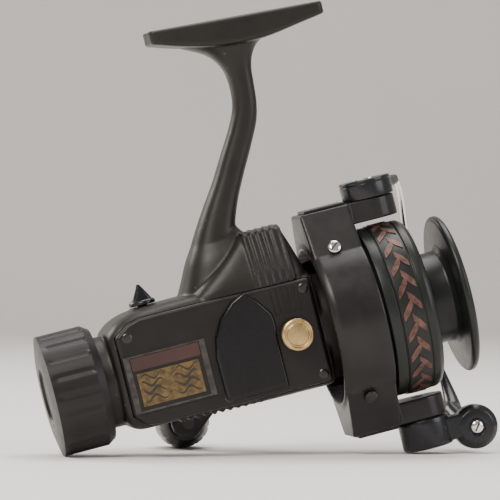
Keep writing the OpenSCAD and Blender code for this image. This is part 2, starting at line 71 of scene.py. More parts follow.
# --- camera ----------------------------------------------------------------------------------------
DISTANCE = 1.2
AZIMUTH = math.radians(-9)
camera_data = bpy.data.cameras.new("camera")
camera_data.lens = 266
camera_data.sensor_width = 36
camera = bpy.data.objects.new("camera", camera_data)
bpy.context.scene.collection.objects.link(camera)
aim = REEL @ Vector((0, 0, 30))
camera.location = aim + Vector((math.sin(AZIMUTH), -math.cos(AZIMUTH), 0)) * DISTANCE
camera.rotation_euler = (math.radians(90), 0, AZIMUTH)
bpy.context.scene.camera = camera


# --- materials -------------------------------------------------------------------------------------
def material(name, colour, rough, metal=0.0, vary=0.25, patch=90, grain=0.0, grain_scale=2500,
             stretch=(1, 1, 1), rough_vary=0.08, wear=None, wear_at=0.56, coat=0.0, sheen=0.5):
    """A procedural surface: cloudy colour, uneven gloss, a fine grain, and worn edges."""
    mat = bpy.data.materials.new(name)
    mat.use_nodes = True
    nodes, links = mat.node_tree.nodes, mat.node_tree.links
    shader = nodes["Principled BSDF"]
    shader.inputs["Metallic"].default_value = metal
    shader.inputs["Coat Weight"].default_value = coat
    shader.inputs["Specular IOR Level"].default_value = sheen
    shader.inputs["Coat Roughness"].default_value = 0.12
    place = nodes.new("ShaderNodeTexCoord")
    mapping = nodes.new("ShaderNodeMapping")
    mapping.inputs["Scale"].default_value = stretch
    links.new(place.outputs["Object"], mapping.inputs["Vector"])

    def noise(scale, detail=3.0):
        node = nodes.new("ShaderNodeTexNoise")
        node.inputs["Scale"].default_value = scale
        node.inputs["Detail"].default_value = detail
        links.new(mapping.outputs["Vector"], node.inputs["Vector"])
        return node.outputs["Fac"]

    cloud = nodes.new("ShaderNodeValToRGB")
    cloud.color_ramp.elements[0].position = 0.3
    cloud.color_ramp.elements[1].position = 0.7
    cloud.color_ramp.elements[0].color = (*[c * (1 - vary) for c in colour], 1)
    cloud.color_ramp.elements[1].color = (*[min(1, c * (1 + vary)) for c in colour], 1)
    links.new(noise(patch), cloud.inputs["Fac"])
    colour_out = cloud.outputs["Color"]
    if wear:
        shape = nodes.new("ShaderNodeNewGeometry")
        edge = nodes.new("ShaderNodeMapRange")
        edge.inputs["From Min"].default_value = wear_at - 0.04
        edge.inputs["From Max"].default_value = wear_at + 0.05
        links.new(shape.outputs["Pointiness"], edge.inputs["Value"])
        broken = nodes.new("ShaderNodeMath")
        broken.operation = "MULTIPLY"
        links.new(edge.outputs["Result"], broken.inputs[0])
        links.new(noise(700, 5.0), broken.inputs[1])
        mix = nodes.new("ShaderNodeMix")
        mix.data_type = "RGBA"
        mix.inputs["B"].default_value = (*wear, 1)
        links.new(broken.outputs["Value"], mix.inputs["Factor"])
        links.new(colour_out, mix.inputs["A"])
        colour_out = mix.outputs["Result"]
    links.new(colour_out, shader.inputs["Base Color"])
    gloss = nodes.new("ShaderNodeMapRange")
    gloss.inputs["To Min"].default_value = max(0.03, rough - rough_vary)
    gloss.inputs["To Max"].default_value = rough + rough_vary
    links.new(noise(patch * 4, 4.0), gloss.inputs["Value"])
    links.new(gloss.outputs["Result"], shader.inputs["Roughness"])
    if grain:
        bump = nodes.new("ShaderNodeBump")
        bump.inputs["Strength"].default_value = grain
        bump.inputs["Distance"].default_value = 0.0001
        links.new(noise(grain_scale), bump.inputs["Height"])
        links.new(bump.outputs["Normal"], shader.inputs["Normal"])
    return mat


GREY_WEAR = (0.07, 0.064, 0.058)
PAINT_SHEEN = 0.3
graphite = material("graphite", (0.0110, 0.0088, 0.0073), 0.42, grain=0.3, wear=GREY_WEAR, wear_at=0.6,
                    sheen=PAINT_SHEEN)
cover_black = material("cover_black", (0.0082, 0.0068, 0.0062), 0.36, grain=0.12, wear=GREY_WEAR,
                       wear_at=0.62, sheen=PAINT_SHEEN)
# The arch is coloured darker than the cover black of the same part: painted shade on the gear bulge.
arch_painted_shade = material("arch_painted_shade", (0.0036, 0.0031, 0.0042), 0.27, grain=0.06, sheen=PAINT_SHEEN)
rotor_grey = material("rotor_grey", (0.0118, 0.0108, 0.0106), 0.34, grain=0.12, wear=GREY_WEAR,
                      wear_at=0.62, sheen=PAINT_SHEEN)
knob_black = material("knob_black", (0.0088, 0.0075, 0.0072), 0.4, grain=0.3, wear=GREY_WEAR,
                      wear_at=0.62, sheen=PAINT_SHEEN)
spool_dark = material("spool_dark", (0.0100, 0.0115, 0.0100), 0.34, vary=0.12, grain=0.04,
                      sheen=PAINT_SHEEN)
bail_black = material("bail_black", (0.0095, 0.0098, 0.0125), 0.26, grain=0.08, wear=GREY_WEAR,
                      wear_at=0.62, coat=0.1, sheen=PAINT_SHEEN)
grip_black = material("grip_black", (0.0052, 0.0054, 0.0072), 0.26, grain=0.1, coat=0.15,
                      sheen=PAINT_SHEEN)
copper = material("copper_band", (0.105, 0.050, 0.041), 0.4, metal=0.5, vary=0.45, patch=500)
maroon = material("maroon_strip", (0.036, 0.011, 0.009), 0.42, grain=0.05)
gold = material("gold_panel", (0.112, 0.072, 0.027), 0.42, metal=0.4, vary=0.45, patch=520, grain=0.1)
gold_cap_mat = material("gold_cap", (0.46, 0.32, 0.15), 0.3, metal=0.85, vary=0.25, patch=300, grain=0.1)
brown_ink = material("brown_ink", (0.018, 0.011, 0.006), 0.45)
silver_edge = material("silver_edge", (0.062, 0.055, 0.053), 0.36, metal=0.7, vary=0.4, patch=400)
chrome = material("chrome", (0.72, 0.71, 0.69), 0.1, metal=1.0, vary=0.06, rough_vary=0.04)
dark_steel = material("dark_steel", (0.045, 0.043, 0.041), 0.3, metal=0.9, vary=0.2, grain=0.1)
steel = material("steel", (0.5, 0.5, 0.49), 0.28, metal=1.0, vary=0.12, grain=0.15, stretch=(1, 8, 1))
zinc = material("gear_zinc", (0.48, 0.47, 0.44), 0.4, metal=1.0, vary=0.15, grain=0.25)
brass = material("pinion_brass", (0.62, 0.45, 0.2), 0.26, metal=1.0, vary=0.15, grain=0.15)
nylon = material("nylon", (0.024, 0.024, 0.026), 0.5, grain=0.2)
felt = material("felt", (0.2, 0.17, 0.13), 0.95, vary=0.4, patch=900, grain=0.9, grain_scale=4000)
COPY = {"graphite": graphite, "cover_black": cover_black, "rotor_grey": rotor_grey, "spool_dark": spool_dark,
        "copper_band": copper, "gold_cap": gold_cap_mat, "label": gold, "chrome": chrome, "steel": steel,
        "gear_zinc": zinc, "pinion_brass": brass, "nylon": nylon, "felt": felt, "grip": grip_black}
slot_of = {s["node"]: s["material_slot"] for s in frame["record"]["subparts"]}
for name, node in frame["nodes"].items():
    node.data.materials.clear()
    node.data.materials.append(dark_steel if name == "knob_pin" else COPY[slot_of[name]])


# --- mesh tools ------------------------------------------------------------------------------------
def build(name, points, faces, mat, bevel=0.0, sharp=32, segments=3):
    """An object from points in the reel's frame, smooth apart from its sharp edges."""
    mesh = bpy.data.meshes.new(name)
    mesh.from_pydata([REEL @ Vector(p) for p in points], [], faces)
    cleaner = bmesh.new()
    cleaner.from_mesh(mesh)
    bmesh.ops.remove_doubles(cleaner, verts=cleaner.verts, dist=1e-7)
    bmesh.ops.recalc_face_normals(cleaner, faces=cleaner.faces)
    cleaner.to_mesh(mesh)
    cleaner.free()
    mesh.shade_smooth()
    piece = bpy.data.objects.new(name, mesh)
    bpy.context.scene.collection.objects.link(piece)
    if mat:
        mesh.materials.append(mat)
    if bevel:
        edge = piece.modifiers.new("bevel", "BEVEL")
        edge.width = bevel * MM
        edge.segments = segments
        edge.limit_method = "ANGLE"
        edge.angle_limit = math.radians(35)
        edge.harden_normals = True
    else:
        mesh.set_sharp_from_angle(angle=math.radians(sharp))
    return piece


def skin(rings, closed_loop=False, caps=True):
    """Faces over rings of equal length; caps close the two ends."""
    n, m = len(rings), len(rings[0])
    points = [p for ring in rings for p in ring]
    faces = []
    for i in range(n if closed_loop else n - 1):
        a, b = i * m, ((i + 1) % n) * m
        faces += [(a + k, a + (k + 1) % m, b + (k + 1) % m, b + k) for k in range(m)]
    if caps and not closed_loop:
        faces += [tuple(range(m - 1, -1, -1)), tuple((n - 1) * m + k for k in range(m))]
    return points, faces


AXES = {"u": lambda a, b, t: (t, a, b), "y": lambda a, b, t: (a, t, b), "w": lambda a, b, t: (a, b, t)}


def turned(name, profile, mat, axis="u", centre=(0, 0), sides=96, sharp=32, wave=None):
    """A closed profile of (radius, distance along the axis) turned round the axis."""
    rings = []
    for k in range(sides):
        angle = 2 * math.pi * k / sides
        ring = []
        for radius, t in profile:
            r = radius + (wave(angle, radius, t) if wave else 0)
            ring.append(AXES[axis](centre[0] + r * math.cos(angle), centre[1] + r * math.sin(angle), t))
        rings.append(ring)
    points, faces = skin(rings, closed_loop=True)
    return build(name, points, faces, mat, sharp=sharp)


def rounded(profile, radius=0.5, steps=3):
    """The closed profile with each corner cut back to a small arc."""
    out = []
    n = len(profile)
    for i in range(n):
        p, a, b = Vector(profile[i]), Vector(profile[i - 1]), Vector(profile[(i + 1) % n])
        if p.x < 1e-6 or (a - p).length < 1e-6 or (b - p).length < 1e-6:
            out.append(tuple(p))
            continue
        cut = min(radius, (a - p).length * 0.45, (b - p).length * 0.45)
        start, end = p + (a - p).normalized() * cut, p + (b - p).normalized() * cut
        for k in range(steps + 1):
            f = k / steps
            out.append(tuple(start * (1 - f) ** 2 + p * (2 * f * (1 - f)) + end * f ** 2))
    return out


def prism(name, outline, low, high, mat, axis="y", bevel=0.6, segments=3):
    """An outline across one axis, pushed out along it from low to high."""
    rings = [[AXES[axis](a, b, t) for a, b in outline] for t in (low, high)]
    points, faces = skin(rings)
    return build(name, points, faces, mat, bevel=bevel, segments=segments)


def smooth_path(stops, count):
    """Catmull-Rom points through rows of numbers."""
    rows = [stops[0]] + list(stops) + [stops[-1]]
    out = []
    for k in range(count):
        t = k / (count - 1) * (len(stops) - 1)
        i = min(int(t), len(stops) - 2)
        f = t - i
        a, b, c, d = rows[i:i + 4]
        out.append([0.5 * (2 * q + (r - p) * f + (2 * p - 5 * q + 4 * r - s) * f ** 2
                           + (3 * q - p - 3 * r + s) * f ** 3) for p, q, r, s in zip(a, b, c, d)])
    return out


def super_ring(half_a, half_b, power, count=64):
    """Points of a superellipse, between an ellipse (2) and a rectangle (large)."""
    ring = []
    for k in range(count):
        c, s = math.cos(2 * math.pi * k / count), math.sin(2 * math.pi * k / count)
        ring.append((half_a * math.copysign(abs(c) ** (2 / power), c),
                     half_b * math.copysign(abs(s) ** (2 / power), s)))
    return ring


def swept(name, path, radii, mat, sides=20):
    """A round tube along a path, its radius given for each point."""
    rings = []
    normal = Vector((0, 0, 1))
    points = [Vector(p) for p in path]
    for i, p in enumerate(points):
        ahead = (points[min(i + 1, len(points) - 1)] - points[max(i - 1, 0)]).normalized()
        normal = (normal - ahead * normal.dot(ahead)).normalized()
        across = ahead.cross(normal)
        rings.append([p + radii[i] * (math.cos(2 * math.pi * k / sides) * normal
                                      + math.sin(2 * math.pi * k / sides) * across) for k in range(sides)])
    return build(name, *skin(rings), mat)


def bake(piece):
    """The piece with its modifiers applied."""
    graph = bpy.context.evaluated_depsgraph_get()
    mesh = bpy.data.meshes.new_from_object(piece.evaluated_get(graph))
    piece.modifiers.clear()
    piece.data = mesh
    return piece


def fuse(name, parts, cuts, mat, voxel, rounds):
    """One cast shape from overlapping closed parts, its joins softened, with the cuts taken out."""
    bpy.ops.object.select_all(action="DESELECT")
    for part in parts:
        bake(part).select_set(True)
    bpy.context.view_layer.objects.active = parts[0]
    bpy.ops.object.join()
    piece = parts[0]
    piece.name = name
    remesh = piece.modifiers.new("remesh", "REMESH")
    remesh.mode = "VOXEL"
    remesh.voxel_size = voxel * MM
    soften = piece.modifiers.new("soften", "SMOOTH")
    soften.factor = 0.5
    soften.iterations = rounds
    bake(piece)
    for cut in cuts:
        hole = piece.modifiers.new("cut", "BOOLEAN")
        hole.operation = "DIFFERENCE"
        hole.solver = "EXACT"
        hole.object = cut
    bake(piece)
    for cut in cuts:
        bpy.data.objects.remove(cut)
    piece.data.materials.clear()
    piece.data.materials.append(mat)
    piece.data.shade_smooth()
    piece.data.set_sharp_from_angle(angle=math.radians(58))
    return piece


def finish(piece, body, slot, *nodes):
    """The piece rides on its body and stands for its CAD nodes."""
    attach(piece, body)
    if nodes:
        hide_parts(*nodes)
    return piece


# --- housing: stem, foot and case ------------------------------------------------------------------
BODY_HALF = 17
# Height, rear edge, front edge and half width of the stem, from the case to the foot
STEM = [(14, -30, -2, 14), (22, -25.5, -3.6, 11.5), (30, -21.4, -4, 9.4), (38, -17.2, -3.2, 7.8),
        (46, -12.2, -0.4, 6.7), (54, -6.8, 3.6, 5.9), (62, -2.0, 8.0, 5.4), (70, 2.8, 12.0, 5.1),
        (76, 5.6, 13.6, 5.0), (82, 6.4, 14.2, 5.0), (88, 5.8, 14.8, 5.2), (92.5, 3.4, 16.6, 5.8),
        (95.5, 0, 19.6, 6.8), (98.5, -6, 26, 7.8)]
# Height, rear edge, front edge and half width of the guard in front of the stem
GUARD = [(10, -27, 15, 16.4), (18, -26, 15, 16.4), (22, -22, 14, 15.8), (27, -15, 12.6, 14.2),
         (32, -8.5, 11, 12.2), (35.4, -5, 9.8, 10.4)]
GUARD_POWER = 5
# Distance along the shaft, bottom, top and half width of the case
CASE = [(-53.9, -13.5, 15.2, 15.6), (-52.5, -15.6, 16.6, 16.6), (-49.5, -17.0, 18.6, 17),
        (-44, -17.2, 20.2, 17), (-36, -17.2, 20.8, 17), (-26, -17.3, 21, 17), (-12, -18.1, 21, 17),
        (4, -18.2, 20.6, 17), (13.5, -18.2, 19.6, 17),
        (15, -17.6, 19, 16.4)]


def guard_at(w):
    """Rear edge, front edge and half width of the guard at a height."""
    for low, high in zip(GUARD, GUARD[1:]):
        if w <= high[0]:
            f = (w - low[0]) / (high[0] - low[0])
            return [a + (b - a) * f for a, b in zip(low[1:], high[1:])]
    return GUARD[-1][1:]


def rib_over_guard(u):
    """A raised rib that climbs one side of the guard, crosses its top and goes down the other."""
    side = []
    for w in [18 + 0.9 * k for k in range(20)]:
        rear, front, half = guard_at(w)
        x = (u - (rear + front) / 2) / ((front - rear) / 2)
        if abs(x) < 0.97:
            side.append((w, half * (1 - abs(x) ** GUARD_POWER) ** (1 / GUARD_POWER)))
    top = side[-1]
    path = [(u, -y, w) for w, y in side]
    path += [(u, -top[1] * (1 - f / 4), top[0] + 0.5) for f in (1, 2, 3, 4)]
    path += [(u, top[1] * f / 4, top[0] + 0.5) for f in (1, 2, 3)]
    path += [(u, y, w) for w, y in reversed(side)]
    return swept("rib", path, [0.75] * len(path), None, 10)


def stem_part():
    rings = []
    for w, rear, front, half in smooth_path(STEM, 60):
        ring = super_ring((front - rear) / 2, half, 2.6, 48)
        rings.append([((front + rear) / 2 + a, b, w) for a, b in ring])
    return build("stem", *skin(rings), None)


def guard_part():
    rings = []
    for w, rear, front, half in smooth_path(GUARD, 24):
        ring = super_ring((front - rear) / 2, half, GUARD_POWER, 64)
        rings.append([((front + rear) / 2 + a, b, w) for a, b in ring])
    return build("guard", *skin(rings), None)


# Height, rear edge, front edge and half width of the web between stem and guard
WEB = [(13, -31, 14, 15.6), (19, -27.6, 12.4, 14.2), (25, -24.4, 8.6, 12.4), (31, -21.4, 3.8, 10.6),
       (36, -18.2, -0.8, 8.0), (41, -15.0, -3.4, 6.0), (47, -10.6, -1.2, 4.6)]


def web_part():
    rings = []
    for w, rear, front, half in smooth_path(WEB, 24):
        ring = super_ring((front - rear) / 2, half, 3, 56)
        rings.append([((front + rear) / 2 + a, b, w) for a, b in ring])
    return build("web", *skin(rings), None)


def case_part():
    rings = []
    for u, bottom, top, half in smooth_path(CASE, 40):
        ring = super_ring(half, (top - bottom) / 2, 6, 72)
        rings.append([(u, a, (top + bottom) / 2 + b) for a, b in ring])
    return build("case", *skin(rings), None)


FOOT_TOP = ((-15.5, 106.4), (41.4, 103.1))
FOOT_HALF = 8.5
SEAT_R = 12


def foot_part():
    """The rod foot: ramps under both toes, ends rounded in plan."""
    stops = [(-16.3, 102.2, 6.6), (-16.0, 101.9, 7.6), (-14.6, 101.5, 8.4), (-6, 98.9, FOOT_HALF),
             (4, 96.6, FOOT_HALF), (13, 95.7, FOOT_HALF), (22, 95.9, FOOT_HALF), (33, 97.6, FOOT_HALF),
             (39.4, 98.6, 8.4), (40.8, 98.9, 7.6),
             (41.2, 99.1, 6.6)]
    slope = (FOOT_TOP[1][1] - FOOT_TOP[0][1]) / (FOOT_TOP[1][0] - FOOT_TOP[0][0])
    rings = []
    for u, bottom, half in smooth_path(stops, 48):
        top = FOOT_TOP[0][1] + (u - FOOT_TOP[0][0]) * slope
        ring = super_ring(half, (top - bottom) / 2, 9, 64)
        rings.append([(u, a, (top + bottom) / 2 + b) for a, b in ring])
    return build("foot", *skin(rings), None)


def seat_cut():
    slope = (FOOT_TOP[1][1] - FOOT_TOP[0][1]) / (FOOT_TOP[1][0] - FOOT_TOP[0][0])
    rings = []
    for u in (-30, 60):
        top = FOOT_TOP[0][1] + (u - FOOT_TOP[0][0]) * slope + SEAT_R - 1.4
        rings.append([(u, SEAT_R * math.cos(2 * math.pi * k / 64),
                       top + SEAT_R * math.sin(2 * math.pi * k / 64))
                      for k in range(64)])
    return build("seat", *skin(rings), None)


def rod(name, axis, centre, radius, low, high, sides=64):
    """A plain round bar, as a part or a cutter."""
    rings = [[AXES[axis](centre[0] + radius * math.cos(2 * math.pi * k / sides),
                         centre[1] + radius * math.sin(2 * math.pi * k / sides), t)
              for k in range(sides)] for t in (low, high)]
    return build(name, *skin(rings), None)


NEAR_CUT = [(-52, -12), (-47.5, -16), (-12, -16.6), (14, -16.6), (14, 17.8), (-20, 18.4),
            (-43, 18.4), (-47, 17.4), (-52, 14)]
CAVITY = [(-48, -13), (-46, -15.4), (-14, -15.4), (-10, -16.9), (13.2, -16.9), (13.2, 17.2),
          (-44, 17.2), (-48, 14)]
boss = (CRANK.x, CRANK.z)
RATCHET_ROD = (-10, 10.4)
body_parts = [case_part(), stem_part(), web_part(), guard_part(), foot_part(),
              rod("nose", "u", (0, 0), 17.4, 8, 27.1), rod("cup", "u", (0, 0), 15, -60, -50),
              rod("boss", "y", boss, 9.5, 10, 20.5), rod("lever_seat", "w", (LEVER.x, 0), 4.9, 17.5, 21.0)]
body_parts += [rib_over_guard(-2.6 + 2.35 * k) for k in range(6)]
body_parts += [swept("bottom_rib", [(-36 + 2.6 * k, -13, -17.2), (-36 + 2.6 * k, 13, -17.2)], [0.8, 0.8],
                     None, 12)
               for k in range(11)]
body_cuts = [prism("cavity", CAVITY, -19, 15.2, None, bevel=0),
             prism("near_cut", NEAR_CUT, -22, -BODY_HALF + 2.8, None, bevel=0),
             rod("nose_cut", "u", (0, 0), 16, 12, 21.8), rod("bearing_cut", "u", (0, 0), 8.02, 20, 30),
             rod("cup_cut", "u", (0, 0), 12, -64, -50), rod("sleeve_cut", "u", (0, 0), 4.3, -52, -40),
             rod("axle_cut", "y", boss, 7.52, 9, 24), rod("lever_cut", "w", (LEVER.x, 0), 1.6, 12, 30),
             rod("ratchet_cut", "u", RATCHET_ROD, 1.7, 11, 30),
             seat_cut()]
reel_body = fuse("reel_body", body_parts, body_cuts, graphite, 0.42, 4)
finish(reel_body, "housing", "graphite", "body_housing")

# --- side cover, arch, cap, nameplate ---------------------------------------------------------------
def rectangle(left, right, low, high):
    return [(left, low), (right, low), (right, high), (left, high)]


cover_edge = [(u - 0.15 if u > -20 else u + 0.15, w - 0.15 if w > 0 else w + 0.15) for u, w in NEAR_CUT]
cover = prism("cover_plate", cover_edge, -BODY_HALF - 0.6, -BODY_HALF + 2.8, cover_black, bevel=1.3,
              segments=4)
finish(cover, "housing", "cover_black", "side_cover")
ARCH = [(-21.6, -14.6), (-21.8, 0), (-20.6, 6), (-17.6, 11.6), (-13, 16), (-8.6, 18.2), (-4.6, 14.6),
        (-0.8, 9.4), (-0.4, 5.6), (-0.9, 2.2), (-0.9, -14.6)]
# The gear bulge takes the darker arch material, which is painted shade on the bulge and not a different plastic.
arch = prism("gear_arch", ARCH, -BODY_HALF - 2.4, -BODY_HALF, arch_painted_shade, bevel=2.2, segments=6)
finish(arch, "housing", "cover_black")

RIB_TOP = 16.6
for k in range(5):
    rib_u = 0.4 + 1.9 * k
    bar = rectangle(rib_u, rib_u + 0.9, 8.2, RIB_TOP)
    rib = prism(f"cover_rib_{k}", bar, -BODY_HALF - 0.95, -BODY_HALF - 0.5, cover_black, bevel=0.18)
    finish(rib, "housing", "cover_black")

CAP = (CRANK.x + 1.3, 0.8)
cap = turned("gold_badge", rounded([(0, -21.4), (3.4, -21.4), (3.6, -21.0), (4.2, -21.0), (4.4, -21.6),
                                    (5.2, -21.2), (5.2, -18.4), (0, -18.4)], 0.25),
                                    gold_cap_mat, "y", CAP, 72)
finish(cap, "housing", "gold_cap", "side_cap")

LABEL = (-51.3, -23.8, -11.8, 7.3)
label_y = -BODY_HALF - 0.6
base_plate = prism("label_base", rectangle(*LABEL), label_y - 0.35, label_y + 1.1, knob_black, bevel=0.25)
finish(base_plate, "housing", "label", "nameplate")
label_rear, label_front, label_low, label_high = LABEL
strip = prism("label_strip", rectangle(label_rear + 2.5, label_front - 2.5, label_high - 5.2,
                                       label_high - 1.0), label_y - 0.5, label_y - 0.3, maroon,
              bevel=0.08)
finish(strip, "housing", "label")
panel = prism("label_panel", rectangle(label_rear + 3.4, label_front - 3.6, label_low + 2.2,
                                       label_high - 6.2), label_y - 0.5, label_y - 0.3, gold,
              bevel=0.08)
finish(panel, "housing", "label")
frame_bars = [(label_rear + 0.3, label_front - 0.3, label_high - 0.8, label_high - 0.35),
              (label_rear + 0.3, label_front - 0.3, label_low + 0.35, label_low + 1.0),
              (label_rear + 0.3, label_rear + 2.2, label_low + 1.0, label_high - 0.8),
              (label_front - 2.2, label_front - 0.3, label_low + 1.0, label_high - 0.8)]
for k, bar in enumerate(frame_bars):
    edge = prism(f"label_edge_{k}", rectangle(*bar), label_y - 0.55, label_y - 0.3, silver_edge, bevel=0.08)
    finish(edge, "housing", "label")


def wave_mark(name, height, thick, phase):
    """A generic wavy stripe across the gold panel."""
    count = 40
    left, right = label_rear + 4.4, label_front - 4.6
    rows = []
    for side in (-1, 1):
        row = [(left + (right - left) * k / count,
                height + 0.9 * math.sin(6.5 * math.pi * k / count + phase)
                + side * thick * (0.5 + 0.4 * math.sin(3.1 * math.pi * k / count)))
               for k in range(count + 1)]
        rows.append(row if side < 0 else row[::-1])
    return prism(name, rows[0] + rows[1], label_y - 0.58, label_y - 0.45, brown_ink, bevel=0)


for k, (height, thick) in enumerate([(-0.4, 0.4), (-2.6, 0.55), (-4.9, 0.7), (-7.4, 0.5)]):
    finish(wave_mark(f"label_wave_{k}", height, thick, 1.3 * k), "housing", "label")


def slotted_head(name, axis, centre, radius, low, high, mat, slot_turn=0.4):
    """A screw head: domed, with a straight slot let in as a dark bar."""
    sign = 1 if high > low else -1
    head = turned(name, rounded([(0, high), (radius * 0.6, high), (radius, high - sign * 0.45),
                                 (radius, low), (0, low)],
                                0.3), mat, axis, centre, 48)
    length, width = radius * 0.75, radius * 0.13
    c, s = math.cos(slot_turn), math.sin(slot_turn)
    bar = [(centre[0] + c * a - s * b, centre[1] + s * a + c * b)
           for a, b in ((-length, -width), (length, -width), (length, width), (-length, width))]
    groove = prism(name + "_slot", bar, high - sign * 0.3, high + sign * 0.03, brown_ink, axis, bevel=0)
    return head, groove


SCREWS = [(-48, 13), (-20.5, -13.6), (11, -13.7), (11, 14.7)]
for k, place in enumerate(SCREWS):
    head, groove = slotted_head(f"cover_screw_{k}", "y", place, 1.9, -BODY_HALF + 1.2, -BODY_HALF - 0.9,
                                dark_steel, 0.5 + k)
    finish(head, "housing", "steel", *(["cover_screws"] if k == 0 else []))
    finish(groove, "housing", "steel")

# --- anti-reverse lever ------------------------------------------------------------------------------
lever_base = turned("lever_base", rounded([(0, 12.2), (1.5, 12.2), (1.5, 21.4), (4.4, 21.4), (4.4, 22.4),
                                           (3.8, 23), (0, 23)], 0.3), grip_black, "w", (LEVER.x, 0), 64)
finish(lever_base, "ar_lever", "grip", "anti_reverse_lever")
# Height, reach to the rear, reach to the front and half thickness of the fin
FIN = [(22.7, 3.6, 3.6, 1.6), (23.8, 2.6, 3.0, 1.5), (25.4, 1.7, 2.1, 1.2), (26.9, 0.9, 1.2, 0.85),
       (28.1, 0.4, 0.4, 0.5)]
fin_rings = []
for w, rear, front, half in smooth_path(FIN, 20):
    ring = super_ring((front + rear) / 2, half, 3, 40)
    fin_rings.append([(LEVER.x + (front - rear) / 2 + a, b, w) for a, b in ring])
fin = build("lever_fin", *skin(fin_rings), grip_black)
finish(fin, "ar_lever", "grip")
tab = prism("lever_tab", rectangle(LEVER.x - 1.3, LEVER.x + 1.3, 12.2, 14), -6.5, 0, grip_black, bevel=0.2)
finish(tab, "ar_lever", "grip")

# --- drag knob -------------------------------------------------------------------------------------
KNOB_R = 19.8
KNOB_REAR, KNOB_EDGE = -76, -75


def flutes(angle, radius, t):
    """Shallow finger flutes round the knob's band."""
    if radius < KNOB_R - 0.3 or not -73.6 < t < -60.6:
        return 0.0
    return -0.4 * max(0.0, math.cos(20 * angle)) ** 3


knob_profile = [(0, -75.2), (9, -75.2), (9.6, -76), (14.6, KNOB_REAR), (KNOB_R, KNOB_EDGE)]
knob_profile += [(KNOB_R, -74.2 + 0.9 * k) for k in range(16)]
knob_profile += [(KNOB_R, -60.2), (KNOB_R - 1.7, -57.7), (15.9, -57.6), (15.5, -58), (15.5, -72.5),
                 (0, -72.5)]
knob = turned("drag_dial", knob_profile, knob_black, sides=216, sharp=28, wave=flutes)
finish(knob, "drag_cap", "graphite", "drag_knob")

# --- rotor -----------------------------------------------------------------------------------------
DRUM_R = 28
drum_profile = [(4.02, 31.2), (9, 31.2), (9, 32.4), (25.6, 32.4), (25.6, 16.5), (26.4, 16.2), (27.3, 16.8),
                (DRUM_R, 18.4), (DRUM_R, 33.2), (27.6, 33.6), (25.2, 33.6), (25.2, 45.6), (24.8, 46),
                (23.2, 46), (23.2, 35), (9, 35), (9, 36),
                (4.02, 36)]
ARM_OUT = 37
FINGER = 8.2


def rotor_arm(side):
    """A rotor arm on one side: a broad root on the drum and a finger out to the bail's pivot."""
    root = prism("root", [(-17, 21), (-12.5, 30), (-8.5, ARM_OUT), (8.5, ARM_OUT), (12.5, 30), (17, 21)],
                 17, 33.4, None, "u",
                 bevel=0)
    finger = [(30, -FINGER), (BAIL.x, -FINGER)]
    finger += [(BAIL.x + FINGER * math.sin(math.pi * k / 12),
                -FINGER * math.cos(math.pi * k / 12)) for k in range(1, 12)]
    finger += [(BAIL.x, FINGER), (30, FINGER)]
    tip = prism("finger", finger, 30, ARM_OUT, None, "w", bevel=0)
    if side < 0:
        for part in (root, tip):
            part.data.transform(REEL @ Matrix.Scale(-1, 4, (0, 0, 1)) @ REEL.inverted())
            part.data.flip_normals()
    return [root, tip]


drum = turned("drum", drum_profile, None, sides=128)
rotor_cuts = [rod("drum_space", "u", (0, 0), 25.5, 10, 32.3, 96)]
rotor_cuts += [rod("pivot_hole", "w", (BAIL.x, 0), 2.05, low, low + 12) for low in (-41, 29)]
rotor_shell = fuse("rotor_shell", [drum] + rotor_arm(1) + rotor_arm(-1), rotor_cuts, rotor_grey, 0.4, 6)
finish(rotor_shell, "rotor", "rotor_grey", "rotor")
for side in (1, -1):
    low, high = sorted((side * (ARM_OUT - 0.2), side * (ARM_OUT + 1.0)))
    plate = rectangle(19, BAIL.x - 9, -6.4, 6.4)
    cover_plate = prism(f"arm_cover_{'top' if side > 0 else 'bottom'}", plate, low, high, rotor_grey, "w",
                        bevel=0.5)
    finish(cover_plate, "rotor", "rotor_grey", *(["arm_covers"] if side > 0 else []))

# --- spool -----------------------------------------------------------------------------------------
spool_profile = rounded([(1.6, 44), (5, 44), (5, 57.5), (13.2, 57.5), (13.2, 48.2), (26.4, 48.2),
                         (26.4, 34.3), (DRUM_R, 34.3), (DRUM_R, 37.6), (27.7, 37.8), (27.7, 46.2),
                         (DRUM_R, 46.4), (DRUM_R, 48.4), (27, 50), (17, 50), (15, 51.4), (15, 58.4),
                         (16.5, 59.8), (25, 59.9), (26, 60.6), (26, 62), (25, 62.8), (22, 63), (14, 62.2),
                         (8.2, 62.4), (7.4, 64), (6.6, 64), (6.6, 58.8),
                         (1.6, 58.8)], 0.5)
spool = turned("spool_shell", spool_profile, spool_dark, sides=144)
finish(spool, "spool_shaft", "spool_dark", "spool")
band = turned("band_ring", rounded([(27.6, 38.2), (28.15, 38.2), (28.15, 45.8), (27.6, 45.8)], 0.12),
              spool_dark, sides=144)
finish(band, "spool_shaft", "copper_band", "spool_band")


def stroke(k, lean, start, end, wide):
    """One slanted stroke of the band, bent round the skirt."""
    points, faces = [], []
    steps = 8
    for i in range(steps + 1):
        f = i / steps
        u = start + (end - start) * f
        turn = 2 * math.pi * k + lean * (f - 0.5)
        swell = wide * (0.75 + 0.25 * math.sin(math.pi * f))
        for r in (28.05, 28.42):
            for s in (-1, 1):
                a = turn + s * swell
                points.append((u, -r * math.cos(a), r * math.sin(a)))
    for i in range(steps):
        a, b = 4 * i, 4 * i + 4
        faces += [(a, a + 1, b + 1, b), (a + 2, b + 2, b + 3, a + 3), (a, b, b + 2, a + 2),
                  (a + 1, a + 3, b + 3, b + 1)]
    faces += [(0, 2, 3, 1), (4 * steps, 4 * steps + 1, 4 * steps + 3, 4 * steps + 2)]
    return points, faces


